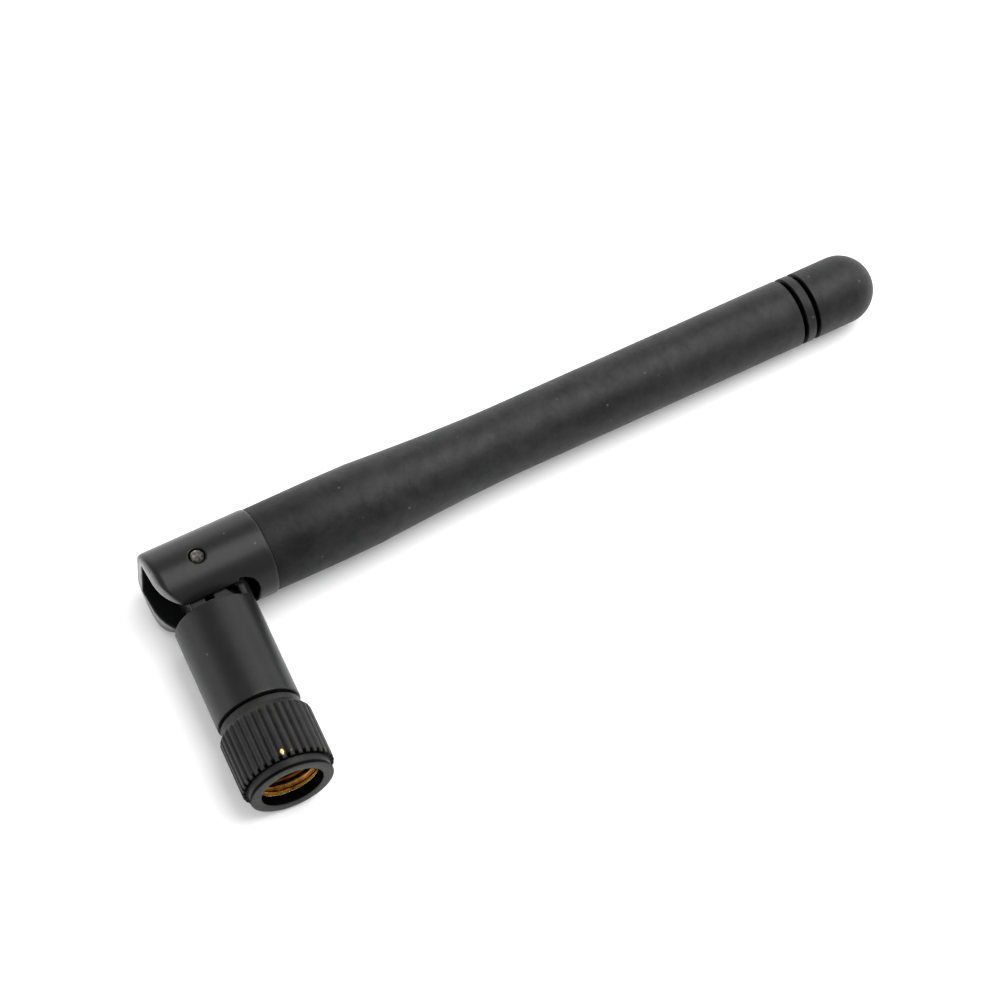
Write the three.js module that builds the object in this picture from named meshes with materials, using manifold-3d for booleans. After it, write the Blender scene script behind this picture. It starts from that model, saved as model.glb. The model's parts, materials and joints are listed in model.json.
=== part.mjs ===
// Omnidirectional swivel antenna for a wireless router, in millimetres, +Z up.
//
// The antenna lies on its side, folded. The connector's axis runs along Y with the nut's mouth at -Y, the
// whip points along +X, and the hinge pins run along Z. Every group below has its origin at the middle of
// the hinge, and is drawn as if the antenna were straight: connector towards -Y, whip towards +Y.
// The group of the whip is then turned about the hinge pins into the folded position.

import * as THREE from 'three';
import { mergeVertices } from 'three/addons/utils/BufferGeometryUtils.js';
import Module from 'manifold-3d';

const wasm = await Module();
wasm.setup();

// ---- Driving dimensions ----

const FOLD_ANGLE = 84.3;          // how far the whip is folded from straight, in degrees

const SIDES_LARGE = 40;           // facets round the outer pieces
const SIDES_SMALL = 24;           // facets round the inner pieces

// Hinge, measured from the pin axis
const KNUCKLE_RADIUS = 4.7;
const KNUCKLE_END = -5.1;         // free end of the fork
const JOINT_LINE = 7.22;          // where the rubber sleeve meets the knuckle
const EAR_ROUND_Y = -0.4;         // centre of the rounded ear ends
const EAR_FILLET = 0.8;
const SLOT_HALF = 2.68;           // half the gap between the ears
const SLOT_END = 4.9;
const SLOT_WALL_X = -2.55;        // inner face of the wall that closes the fork on one side
const RELIEF_HALF = 2.98;         // the slot is wider near its end, for the barrel's stop lugs
const RELIEF_START = 3.0;
const RELIEF_CORNER = 1.1;
const PIN_RADIUS = 0.75;
const PIN_EAR_HOLE = 0.86;
const PIN_CHEEK_HOLE = 0.8;
const PIN_INNER = 1.3;            // inner end of each pin, from the middle
const PIN_OUTER = 4.42;           // outer end, a little below the knuckle's surface
const PIN_CHAMFER = 0.12;

// Swivel barrel
const BARREL_RADIUS = 4.53;
const BARREL_END = -17.08;
const SHOULDER = -5.2;            // flat top of the barrel, below the tongue
const BARREL_BEVEL = 0.16;
const TONGUE_HALF = 2.45;         // half the tongue's thickness
const TONGUE_BACK_X = -2.4;
const TONGUE_FRONT_X = 4.3;
const CHANNEL_HALF = 1.15;        // channel for the cable, between the tongue's two cheeks
const CHANNEL_BACK_X = -1.05;
const DETENT_STEP = 36;           // angle between the radial grooves in the cheeks, in degrees
const DETENT_START = -3;
const DETENT_WIDTH = 0.8;
const DETENT_DEPTH = 0.36;
const DETENT_INNER = 2.0;
const LUG_X = 3.65;
const LUG_WIDTH = 0.7;
const LUG_TOP = -3.7;
const LUG_HALF = 2.85;
const BARREL_BORE = 3.35;         // takes the bush and the connector's flange
const BARREL_BORE_END = -13.6;
const FERRULE_BORE = 1.75;
const FERRULE_BORE_END = -9.5;
const CABLE_BORE = 1.3;

// Coupling nut
const NUT_RADIUS = 4.96;
const NUT_TOP = -17.36;
const NUT_END = -25.94;
const NECK_RADIUS = 4.36;
const NECK_BOTTOM = -18.0;
const KNURL_TOP = -19.1;          // where the knurl reaches its full radius
const KNURL_END = -24.85;
const KNURL_TEETH = 36;
const KNURL_DEPTH = 0.3;
const END_GROOVE_RADIUS = 4.24;
const END_RING_TOP = -25.3;
const END_RING_RADIUS = 4.48;
const MOUTH_RADIUS = 3.34;
const MOUTH_DEPTH = 1.2;
const THREAD_MINOR = 2.88;        // 1/4-36 UNS inside thread
const THREAD_MAJOR = 3.2;
const THREAD_PITCH = 25.4 / 36;
const THREAD_TURNS = 6;
const NUT_RELIEF = 3.4;
const NUT_WALL = -18.95;          // inner face of the wall behind the snap ring
const NUT_WALL_BORE = 2.55;

// Connector body
const SHIELD_END = -22.4;         // mating face, inside the nut
const SHIELD_RADIUS = 2.3;
const SHIELD_BORE = 2.06;
const SHIELD_LENGTH = 2.4;
const BODY_RADIUS = 2.4;
const BEAD_SEAT = -17.9;
const RING_GROOVE = [-19.5, -19.1];
const RING_GROOVE_RADIUS = 2.1;
const SNAP_RING_RADIUS = 2.95;
const SNAP_RING_SPLIT = 0.6;      // half the gap in the open ring
const WASHER = [-14.1, -13.9];    // wavy spring washer behind the flange
const WASHER_BORE = 2.0;
const WASHER_RADIUS = 3.2;
const WASHER_WAVE = 0.14;
const WASHER_WAVES = 3;
const FLANGE = [-15.15, -14.35];
const FLANGE_RADIUS = 3.15;
const STEM_RADIUS = 0.72;
const STEM_END = -10.4;
const STEM_BORE = 0.48;
const FERRULE_RADIUS = 1.4;
const CONTACT_RADIUS = 0.62;
const SOCKET_RADIUS = 0.46;
const SOCKET_DEPTH = 2.4;

// Cable and dipole, measured along the whip from the pin axis
const CABLE_RADIUS = 0.9;
const CORE_RADIUS = 0.42;
const WIRE_RADIUS = 0.15;
const CABLE_BEND_RADIUS = 4.0;
const SPIGOT_RADIUS = 3.52;
const SPIGOT_BARB_RADIUS = 3.66;
const SPIGOT_BARBS = [9.4, 12.4];
const SPIGOT_END = 15.0;
const WHIP_BORE = 2.74;
const DIPOLE_START = 20.0;
const DIPOLE_RADIUS = 2.3;
const DIPOLE_WALL = 0.3;
const DIPOLE_NECK = 1.25;
const DIPOLE_NECK_BORE = 0.72;
const FEED = 46.8;                // top of the brass tube's neck
const BRAID_RADIUS = 0.68;
const SHRINK_WALL = 0.22;
const RADIATOR_START = 48.3;
const RADIATOR_END = 74.8;
const RADIATOR_RADIUS = 0.4;
const FOOT_SPACER = [15.8, 18.2];
const SLEEVE_SPACER = [21, 24];
const TIP_SPACER = [68, 71.5];

// Rubber sleeve
const SLEEVE_RADIUS = 3.84;
const SLEEVE_FOOT_RADIUS = 4.58;
const FOOT_MIDDLE = 14.5;
const FOOT_END = 19.4;            // end of the nearly straight foot
const TAPER_END = 37.0;
const TAPER_POWER = 1.6;
const TIP = 83.33;
const TIP_GROOVES = [72.8, 74.4];
const TIP_GROOVE_HALF = 0.22;
const TIP_GROOVE_DEPTH = 0.22;
const WHIP_BORE_END = 77.5;

const GAP = 0.05;                 // clearance between pieces that touch on the real antenna

// ---- Solids ----

// A closed geometry becomes a solid: equal vertices are merged and collapsed triangles dropped.
function solidOf(geometry) {
  geometry.deleteAttribute('normal');
  geometry.deleteAttribute('uv');
  const merged = mergeVertices(geometry, 1e-5);
  const index = merged.index.array;
  const triangles = [];
  for (let i = 0; i < index.length; i += 3) {
    const [a, b, c] = [index[i], index[i + 1], index[i + 2]];
    if (a !== b && b !== c && c !== a) triangles.push(a, b, c);
  }
  const vertProperties = new Float32Array(merged.attributes.position.array);
  const triVerts = new Uint32Array(triangles);
  return new wasm.Manifold(new wasm.Mesh({ numProp: 3, vertProperties, triVerts }));
}

// A turned piece about Y. The outline runs anticlockwise in (radius, y): up the outside, down the inside.
// An outline that doesn't start on the axis is closed on itself.
function turned(outline, sides = SIDES_SMALL) {
  const points = outline.map(([radius, y]) => new THREE.Vector2(radius, y));
  const onAxis = outline[0][0] === 0;
  if (!onAxis) points.push(points[0].clone());
  return solidOf(new THREE.LatheGeometry(points, sides));
}

// A plain tube or ring about Y.
function ring(inner, outer, bottom, top, sides = SIDES_SMALL) {
  return turned([[inner, bottom], [outer, bottom], [outer, top], [inner, top]], sides);
}

// A plain rod about Y.
function rod(radius, bottom, top, sides = SIDES_SMALL) {
  return turned([[0, bottom], [radius, bottom], [radius, top], [0, top]], sides);
}

function box(low, high) {
  const size = high.map((value, i) => value - low[i]);
  const middle = high.map((value, i) => (value + low[i]) / 2);
  const geometry = new THREE.BoxGeometry(...size);
  geometry.translate(...middle);
  return solidOf(geometry);
}

// A cylinder along Z.
function cross(radius, low, high, sides = SIDES_SMALL) {
  const geometry = new THREE.CylinderGeometry(radius, radius, high - low, sides);
  geometry.rotateX(Math.PI / 2);
  geometry.translate(0, 0, (low + high) / 2);
  return solidOf(geometry);
}

// An outline in the XY plane, drawn out along Z.
function plate(shape, low, high, curveSegments = 8) {
  const options = { depth: high - low, bevelEnabled: false, curveSegments };
  const geometry = new THREE.ExtrudeGeometry(shape, options);
  geometry.translate(0, 0, low);
  return solidOf(geometry);
}

// ---- Hinge knuckle ----

// Side outline of the fork: square on the closed side, rounded on the open side.
function earOutline() {
  const outside = KNUCKLE_RADIUS + 1;
  const corner = -KNUCKLE_RADIUS;
  const shape = new THREE.Shape();
  shape.moveTo(-outside, SPIGOT_END + 1);
  shape.lineTo(-outside, KNUCKLE_END + EAR_FILLET);
  shape.lineTo(corner, KNUCKLE_END + EAR_FILLET);
  const filletY = KNUCKLE_END + EAR_FILLET;
  shape.absarc(corner + EAR_FILLET, filletY, EAR_FILLET, Math.PI, 1.5 * Math.PI, false);
  shape.lineTo(0, KNUCKLE_END);
  shape.absarc(0, EAR_ROUND_Y, KNUCKLE_RADIUS, -Math.PI / 2, 0, false);
  shape.lineTo(outside, EAR_ROUND_Y);
  shape.lineTo(outside, SPIGOT_END + 1);
  return shape;
}

// The wider end of the slot, seen along X: an outline in (z, y) with rounded corners at its end.
function reliefCutter() {
  const centreZ = RELIEF_HALF - RELIEF_CORNER;
  const centreY = SLOT_END - RELIEF_CORNER;
  const shape = new THREE.Shape();
  shape.moveTo(-RELIEF_HALF, RELIEF_START);
  shape.lineTo(RELIEF_HALF, RELIEF_START);
  shape.lineTo(RELIEF_HALF, centreY);
  shape.absarc(centreZ, centreY, RELIEF_CORNER, 0, Math.PI / 2, false);
  shape.absarc(-centreZ, centreY, RELIEF_CORNER, Math.PI / 2, Math.PI, false);
  return plate(shape, 0, KNUCKLE_RADIUS + 1, 5).rotate([0, 90, 0]);
}

function hingeKnuckle() {
  const top = JOINT_LINE - GAP / 2;
  const bevel = 0.1;
  const endBevel = 0.3;
  const barbs = SPIGOT_BARBS.flatMap((y) => [
    [SPIGOT_RADIUS, y - 0.2],
    [SPIGOT_BARB_RADIUS, y],
    [SPIGOT_RADIUS, y + 1],
  ]);
  const outer = turned([
    [0, KNUCKLE_END],
    [KNUCKLE_RADIUS, KNUCKLE_END],
    [KNUCKLE_RADIUS, top - bevel],
    [KNUCKLE_RADIUS - bevel, top],
    [SPIGOT_RADIUS, top],
    ...barbs,
    [SPIGOT_RADIUS, SPIGOT_END - endBevel],
    [SPIGOT_RADIUS - endBevel, SPIGOT_END],
    [0, SPIGOT_END],
  ], SIDES_LARGE);
  const across = KNUCKLE_RADIUS + 1;
  const slotLow = [SLOT_WALL_X, KNUCKLE_END - 1, -SLOT_HALF];
  const slot = box(slotLow, [across, SLOT_END, SLOT_HALF]);
  return outer
    .intersect(plate(earOutline(), -across, across))
    .subtract(slot)
    .subtract(reliefCutter())
    .subtract(rod(CABLE_BORE, SLOT_END - 1, SPIGOT_END + 1))
    .subtract(cross(PIN_EAR_HOLE, -across, across));
}

function hingePin(side) {
  const flat = PIN_RADIUS - PIN_CHAMFER;
  const pin = turned([
    [0, PIN_INNER],
    [PIN_RADIUS, PIN_INNER],
    [PIN_RADIUS, PIN_OUTER - PIN_CHAMFER],
    [flat, PIN_OUTER],
    [0, PIN_OUTER],
  ]);
  return pin.rotate([90 * side, 0, 0]);
}

// ---- Swivel barrel ----

// Side outline of the tongue: rounded at the top so that it turns inside the fork.
function tongueOutline() {
  const bottom = SHOULDER - 1;
  const top = -TONGUE_BACK_X;
  const shape = new THREE.Shape();
  shape.moveTo(TONGUE_BACK_X, bottom);
  shape.lineTo(BARREL_RADIUS + 1, bottom);
  shape.lineTo(BARREL_RADIUS + 1, 0);
  shape.lineTo(TONGUE_FRONT_X, 0);
  shape.absellipse(0, 0, TONGUE_FRONT_X, top, 0, Math.PI / 2, false);
  shape.absarc(0, 0, top, Math.PI / 2, Math.PI, false);
  return shape;
}

function tongue() {
  let solid = plate(tongueOutline(), -TONGUE_HALF, TONGUE_HALF, 10);
  const round = rod(BARREL_RADIUS, SHOULDER - 1, -TONGUE_BACK_X + 1, SIDES_LARGE);
  solid = solid.intersect(round);
  const deep = TONGUE_HALF - DETENT_DEPTH;
  const half = DETENT_WIDTH / 2;
  const reach = 2 * BARREL_RADIUS;
  const groove = box([-half, -reach, deep], [half, -DETENT_INNER, TONGUE_HALF + 1])
    .add(box([-half, -reach, -TONGUE_HALF - 1], [half, -DETENT_INNER, -deep]));
  for (let angle = DETENT_START; angle < 360 + DETENT_START; angle += DETENT_STEP) {
    solid = solid.subtract(groove.rotate([0, 0, angle]));
  }
  return solid;
}

// Stop lug at the front of the shoulder, with a rounded top, seen along X.
function stopLugs() {
  const shape = new THREE.Shape();
  const round = 0.45;
  shape.moveTo(-LUG_HALF, SHOULDER - 0.5);
  shape.lineTo(LUG_HALF, SHOULDER - 0.5);
  shape.lineTo(LUG_HALF, LUG_TOP - round);
  shape.absarc(LUG_HALF - round, LUG_TOP - round, round, 0, Math.PI / 2, false);
  shape.absarc(round - LUG_HALF, LUG_TOP - round, round, Math.PI / 2, Math.PI, false);
  const lugs = plate(shape, LUG_X - LUG_WIDTH / 2, LUG_X + LUG_WIDTH / 2, 4).rotate([0, 90, 0]);
  return lugs.intersect(rod(BARREL_RADIUS, SHOULDER - 1, 0, SIDES_LARGE));
}

function swivelBarrel() {
  const outer = turned([
    [0, BARREL_END],
    [BARREL_RADIUS - BARREL_BEVEL, BARREL_END],
    [BARREL_RADIUS, BARREL_END + BARREL_BEVEL],
    [BARREL_RADIUS, SHOULDER - BARREL_BEVEL],
    [BARREL_RADIUS - BARREL_BEVEL, SHOULDER],
    [0, SHOULDER],
  ], SIDES_LARGE);
  const bores = turned([
    [0, BARREL_END - 1],
    [BARREL_BORE, BARREL_END - 1],
    [BARREL_BORE, BARREL_BORE_END],
    [FERRULE_BORE, BARREL_BORE_END],
    [FERRULE_BORE, FERRULE_BORE_END],
    [CABLE_BORE, FERRULE_BORE_END],
    [CABLE_BORE, SHOULDER - 0.5],
    [0, SHOULDER - 0.5],
  ]);
  const channelLow = [CHANNEL_BACK_X, SHOULDER - 1, -CHANNEL_HALF];
  const channel = box(channelLow, [BARREL_RADIUS + 1, 5, CHANNEL_HALF]);
  const across = BARREL_RADIUS + 1;
  return outer
    .add(tongue())
    .add(stopLugs())
    .subtract(bores)
    .subtract(channel)
    .subtract(cross(PIN_CHEEK_HOLE, -across, across));
}

// ---- Coupling nut ----

// Cross-section of the straight knurl: teeth with sloping sides.
function knurlOutline() {
  const root = NUT_RADIUS - KNURL_DEPTH;
  const pitch = (2 * Math.PI) / KNURL_TEETH;
  const crest = 0.2;
  const foot = 0.36;
  const corners = [[-foot, root], [-crest, NUT_RADIUS], [crest, NUT_RADIUS], [foot, root]];
  const shape = new THREE.Shape();
  for (let tooth = 0; tooth < KNURL_TEETH; tooth += 1) {
    for (const [share, radius] of corners) {
      const angle = (tooth + share) * pitch;
      const x = radius * Math.cos(angle);
      const y = radius * Math.sin(angle);
      if (tooth === 0 && share === corners[0][0]) shape.moveTo(x, y);
      else shape.lineTo(x, y);
    }
  }
  return shape;
}

function knurl() {
  const teeth = plate(knurlOutline(), NUT_END, NUT_TOP).rotate([-90, 0, 0]);
  const outside = NUT_RADIUS + 0.2;
  const envelope = turned([
    [0, KNURL_END],
    [NUT_RADIUS - 0.15, KNURL_END],
    [outside, KNURL_END + 0.3],
    [outside, KNURL_TOP + 0.22],
    [NECK_RADIUS, NECK_BOTTOM],
    [0, NECK_BOTTOM],
  ], SIDES_LARGE);
  return teeth.intersect(envelope);
}

// The inside thread is drawn as closed rings, one for each turn.
function nutBore() {
  const mouthEnd = NUT_END + MOUTH_DEPTH;
  const chamfer = 0.3;
  const threadStart = mouthEnd + chamfer;
  const threadEnd = threadStart + THREAD_TURNS * THREAD_PITCH;
  const flank = 0.24;
  const outline = [
    [0, NUT_END - 1],
    [MOUTH_RADIUS, NUT_END - 1],
    [MOUTH_RADIUS, mouthEnd],
    [THREAD_MINOR, threadStart],
  ];
  for (let turn = 0; turn < THREAD_TURNS; turn += 1) {
    const root = threadStart + (turn + 0.5) * THREAD_PITCH;
    outline.push([THREAD_MINOR, root - flank]);
    outline.push([THREAD_MAJOR, root]);
    outline.push([THREAD_MINOR, root + flank]);
  }
  outline.push([THREAD_MINOR, threadEnd]);
  outline.push([NUT_RELIEF, threadEnd + chamfer]);
  outline.push([NUT_RELIEF, NUT_WALL]);
  outline.push([NUT_WALL_BORE, NUT_WALL]);
  outline.push([NUT_WALL_BORE, NUT_TOP + 1]);
  outline.push([0, NUT_TOP + 1]);
  return turned(outline, 32);
}

function couplingNut() {
  const bevel = 0.15;
  const core = turned([
    [0, NUT_END],
    [END_RING_RADIUS - bevel, NUT_END],
    [END_RING_RADIUS, NUT_END + bevel],
    [END_RING_RADIUS, END_RING_TOP],
    [END_GROOVE_RADIUS, END_RING_TOP + 0.1],
    [END_GROOVE_RADIUS, NECK_BOTTOM - 0.4],
    [NECK_RADIUS, NECK_BOTTOM - 0.3],
    [NECK_RADIUS, NUT_TOP - bevel],
    [NECK_RADIUS - bevel, NUT_TOP],
    [0, NUT_TOP],
  ], SIDES_LARGE);
  return core.add(knurl()).subtract(nutBore());
}

// ---- Connector and the pieces in the barrel ----

function connectorBody() {
  return turned([
    [SHIELD_BORE, SHIELD_END],
    [SHIELD_RADIUS, SHIELD_END],
    [SHIELD_RADIUS, SHIELD_END + SHIELD_LENGTH],
    [BODY_RADIUS, SHIELD_END + SHIELD_LENGTH + 0.1],
    [BODY_RADIUS, RING_GROOVE[0]],
    [RING_GROOVE_RADIUS, RING_GROOVE[0]],
    [RING_GROOVE_RADIUS, RING_GROOVE[1]],
    [BODY_RADIUS, RING_GROOVE[1]],
    [BODY_RADIUS, FLANGE[0]],
    [FLANGE_RADIUS, FLANGE[0]],
    [FLANGE_RADIUS, FLANGE[1]],
    [STEM_RADIUS, FLANGE[1]],
    [STEM_RADIUS, STEM_END],
    [STEM_BORE, STEM_END],
    [STEM_BORE, BEAD_SEAT],
    [SHIELD_BORE, BEAD_SEAT],
  ], 32);
}

function contactInsulator() {
  const inner = CONTACT_RADIUS + 0.04;
  return ring(inner, SHIELD_BORE - 0.04, SHIELD_END + GAP, BEAD_SEAT - GAP, 32);
}

// Socket contact: four spring fingers round the socket, and a cup for the wire at the back.
function centreContact() {
  const front = SHIELD_END + 0.1;
  const back = BEAD_SEAT - 0.1;
  const cupRadius = WIRE_RADIUS + 0.06;
  const cupDepth = 1.0;
  const slit = 0.09;
  const slitEnd = front + 1.8;
  return turned([
    [0, front + SOCKET_DEPTH],
    [SOCKET_RADIUS, front + SOCKET_DEPTH],
    [SOCKET_RADIUS, front],
    [CONTACT_RADIUS, front],
    [CONTACT_RADIUS, back],
    [cupRadius, back],
    [cupRadius, back - cupDepth],
    [0, back - cupDepth],
  ])
    .subtract(box([-slit, front - 1, -1], [slit, slitEnd, 1]))
    .subtract(box([-1, front - 1, -slit], [1, slitEnd, slit]));
}

function swivelBush() {
  return ring(BODY_RADIUS + GAP, BARREL_BORE - GAP, BARREL_END + 0.1, FLANGE[0] - 0.1, 32);
}

function snapRing() {
  const [low, high] = [RING_GROOVE[0] + GAP, RING_GROOVE[1] - GAP];
  const closed = ring(RING_GROOVE_RADIUS + GAP, SNAP_RING_RADIUS, low, high, 32);
  const far = SNAP_RING_RADIUS + 1;
  return closed.subtract(box([-SNAP_RING_SPLIT, low - 1, 1], [SNAP_RING_SPLIT, high + 1, far]));
}

function crimpFerrule() {
  const bottom = FLANGE[1] + 0.1;
  const step = STEM_END + 0.1;
  const top = FERRULE_BORE_END - 0.3;
  const stemBore = STEM_RADIUS + 0.06;
  return turned([
    [stemBore, bottom],
    [FERRULE_RADIUS, bottom],
    [FERRULE_RADIUS, top],
    [CABLE_RADIUS + GAP, top],
    [CABLE_RADIUS + GAP, step],
    [stemBore, step],
  ]);
}

// Dielectric of the cable with its wire, from the contact's cup to the end of the stem.
function coaxCoreLower() {
  return turned([
    [0, BEAD_SEAT - 0.8],
    [WIRE_RADIUS, BEAD_SEAT - 0.8],
    [WIRE_RADIUS, BEAD_SEAT + GAP],
    [CORE_RADIUS, BEAD_SEAT + GAP],
    [CORE_RADIUS, STEM_END],
    [0, STEM_END],
  ]);
}

function frictionWasher() {
  const flat = ring(WASHER_BORE, WASHER_RADIUS, WASHER[0], WASHER[1], 36);
  return flat.warp((point) => {
    const around = Math.atan2(point[0], point[2]);
    point[1] += WASHER_WAVE * Math.cos(WASHER_WAVES * around);
  });
}

// ---- Cable across the hinge ----

const foldRadians = THREE.MathUtils.degToRad(FOLD_ANGLE);
const bendReach = CABLE_BEND_RADIUS * Math.tan(foldRadians / 2);

// The bend leaves the barrel along +Y and turns towards the folded whip. Drawn in the whip's group.
function coaxBend() {
  const trim = 0.02;
  const path = new THREE.Curve();
  path.getPoint = (t) => {
    const angle = (trim + (1 - 2 * trim) * t) * foldRadians;
    const along = CABLE_BEND_RADIUS * Math.sin(angle) - bendReach;
    const aside = CABLE_BEND_RADIUS * (1 - Math.cos(angle));
    return new THREE.Vector3(aside, along, 0);
  };
  const section = new THREE.Shape();
  section.absarc(0, 0, CABLE_RADIUS, 0, 2 * Math.PI, false);
  const options = { steps: 10, extrudePath: path, curveSegments: 12 };
  const geometry = new THREE.ExtrudeGeometry(section, options);
  return solidOf(geometry).rotate([0, 0, FOLD_ANGLE]);
}

// ---- Dipole ----

function dipoleSleeve() {
  const inner = DIPOLE_RADIUS - DIPOLE_WALL;
  return turned([
    [inner, DIPOLE_START],
    [DIPOLE_RADIUS, DIPOLE_START],
    [DIPOLE_RADIUS, FEED - 2.2],
    [DIPOLE_NECK, FEED - 1.4],
    [DIPOLE_NECK, FEED],
    [DIPOLE_NECK_BORE, FEED],
    [DIPOLE_NECK_BORE, FEED - 1.7],
    [inner, FEED - 2.4],
  ], 32);
}

function upperRadiator() {
  return turned([
    [0, FEED - 2.5],
    [WIRE_RADIUS, FEED - 2.5],
    [WIRE_RADIUS, RADIATOR_START],
    [RADIATOR_RADIUS, RADIATOR_START],
    [RADIATOR_RADIUS, RADIATOR_END],
    [0, RADIATOR_END],
  ]);
}

function heatShrink() {
  const overNeck = DIPOLE_NECK + GAP;
  const overCore = CORE_RADIUS + GAP;
  const bottom = FEED - 1.1;
  const top = FEED + 2.8;
  return turned([
    [overNeck, bottom],
    [overNeck + SHRINK_WALL, bottom],
    [overNeck + SHRINK_WALL, FEED + 0.1],
    [overCore + SHRINK_WALL, FEED + 0.9],
    [overCore + SHRINK_WALL, top],
    [overCore, top],
    [overCore, FEED + 0.8],
    [overNeck, FEED + 0.05],
  ]);
}

// ---- Rubber sleeve ----

// Outer radius of the sleeve at a height y above the foot: it narrows in one soft concave sweep.
function taperRadius(y) {
  const share = (TAPER_END - y) / (TAPER_END - FOOT_END);
  return SLEEVE_RADIUS + (SLEEVE_FOOT_RADIUS - SLEEVE_RADIUS) * share ** TAPER_POWER;
}

function rubberSleeve() {
  const bottom = JOINT_LINE + GAP / 2;
  const spigotBore = SPIGOT_BARB_RADIUS + GAP;
  const outline = [
    [spigotBore, bottom],
    [KNUCKLE_RADIUS - 0.08, bottom],
    [KNUCKLE_RADIUS, bottom + 0.08],
    [KNUCKLE_RADIUS - 0.04, FOOT_MIDDLE],
  ];
  const taperSteps = 6;
  for (let i = 0; i <= taperSteps; i += 1) {
    const y = FOOT_END + ((TAPER_END - FOOT_END) * i) / taperSteps;
    outline.push([taperRadius(y), y]);
  }
  for (const y of TIP_GROOVES) {
    outline.push([SLEEVE_RADIUS, y - TIP_GROOVE_HALF]);
    outline.push([SLEEVE_RADIUS - TIP_GROOVE_DEPTH, y - TIP_GROOVE_HALF / 2]);
    outline.push([SLEEVE_RADIUS - TIP_GROOVE_DEPTH, y + TIP_GROOVE_HALF / 2]);
    outline.push([SLEEVE_RADIUS, y + TIP_GROOVE_HALF]);
  }
  const domeSteps = 6;
  for (let i = 0; i <= domeSteps; i += 1) {
    const angle = (i / domeSteps) * (Math.PI / 2);
    const radius = i === domeSteps ? 0 : SLEEVE_RADIUS * Math.cos(angle);
    outline.push([radius, TIP - SLEEVE_RADIUS + SLEEVE_RADIUS * Math.sin(angle)]);
  }
  const outer = turned([[0, bottom], ...outline.slice(1)], SIDES_LARGE);
  const bore = turned([
    [0, bottom - 1],
    [spigotBore, bottom - 1],
    [spigotBore, SPIGOT_END + 0.2],
    [WHIP_BORE, SPIGOT_END + 0.6],
    [WHIP_BORE, WHIP_BORE_END - 0.6],
    [WHIP_BORE - 0.8, WHIP_BORE_END],
    [0, WHIP_BORE_END],
  ], 32);
  return outer.subtract(bore);
}

// ---- Finishes ----

const FINISHES = {
  rubber: { color: 0x26272a, roughness: 0.85, metalness: 0 },
  plastic: { color: 0x2a2a2c, roughness: 0.6, metalness: 0 },
  blackPlate: { color: 0x2b2a2a, roughness: 0.4, metalness: 0.8 },
  gold: { color: 0xd9a441, roughness: 0.3, metalness: 1 },
  brass: { color: 0xb8924a, roughness: 0.35, metalness: 1 },
  steel: { color: 0xb9bbbd, roughness: 0.3, metalness: 1 },
  ptfe: { color: 0xe9e7e0, roughness: 0.5, metalness: 0 },
  jacket: { color: 0x5a3423, roughness: 0.45, metalness: 0 },
  tinned: { color: 0xc4c6c8, roughness: 0.35, metalness: 1 },
  copper: { color: 0xb87048, roughness: 0.35, metalness: 1 },
  foam: { color: 0xd8d8d2, roughness: 0.9, metalness: 0 },
  shrink: { color: 0x1b1b1d, roughness: 0.5, metalness: 0 },
};

function piece(name, solid, finish) {
  const { vertProperties, triVerts } = solid.getMesh();
  const geometry = new THREE.BufferGeometry();
  geometry.setAttribute('position', new THREE.BufferAttribute(vertProperties, 3));
  geometry.setIndex(new THREE.BufferAttribute(triVerts, 1));
  geometry.computeVertexNormals();
  const mesh = new THREE.Mesh(geometry, new THREE.MeshStandardMaterial(FINISHES[finish]));
  mesh.name = name;
  return mesh;
}

// ---- Assembly ----

const connector = new THREE.Group();
connector.add(
  piece('connector_body', connectorBody(), 'gold'),
  piece('contact_insulator', contactInsulator(), 'ptfe'),
  piece('centre_contact', centreContact(), 'gold'),
  piece('coax_core_lower', coaxCoreLower(), 'ptfe'),
  piece('crimp_ferrule', crimpFerrule(), 'brass'),
  piece('coax_lower', rod(CABLE_RADIUS, STEM_END + 0.15, -bendReach), 'jacket'),
  piece('snap_ring', snapRing(), 'steel'),
);

const nut = new THREE.Group();
nut.add(piece('coupling_nut', couplingNut(), 'blackPlate'));

const barrel = new THREE.Group();
barrel.add(
  piece('swivel_barrel', swivelBarrel(), 'plastic'),
  piece('swivel_bush', swivelBush(), 'brass'),
  piece('friction_washer', frictionWasher(), 'steel'),
  piece('hinge_pin_upper', hingePin(1), 'steel'),
  piece('hinge_pin_lower', hingePin(-1), 'steel'),
);

const whip = new THREE.Group();
const cableBore = CABLE_RADIUS + GAP;
const spacerRadius = WHIP_BORE - GAP;
const tubeBore = DIPOLE_RADIUS - DIPOLE_WALL;
const braidEnd = ring(CORE_RADIUS + GAP, BRAID_RADIUS, FEED - 2.7, FEED + 0.2);
const dielectric = ring(WIRE_RADIUS + 0.03, CORE_RADIUS, FEED - 2.7, RADIATOR_START - GAP);
whip.add(
  piece('hinge_knuckle', hingeKnuckle(), 'plastic'),
  piece('rubber_sleeve', rubberSleeve(), 'rubber'),
  piece('coax_bend', coaxBend(), 'jacket'),
  piece('coax_upper', rod(CABLE_RADIUS, bendReach, FEED - 2.8), 'jacket'),
  piece('foot_spacer', ring(cableBore, spacerRadius, ...FOOT_SPACER), 'foam'),
  piece('dipole_sleeve', dipoleSleeve(), 'brass'),
  piece('sleeve_spacer', ring(cableBore, tubeBore - GAP, ...SLEEVE_SPACER), 'ptfe'),
  piece('coax_braid_end', braidEnd, 'tinned'),
  piece('coax_dielectric', dielectric, 'ptfe'),
  piece('upper_radiator', upperRadiator(), 'copper'),
  piece('heat_shrink', heatShrink(), 'shrink'),
  piece('tip_spacer', ring(RADIATOR_RADIUS + GAP, spacerRadius, ...TIP_SPACER), 'foam'),
);
whip.rotation.z = -foldRadians;

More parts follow.
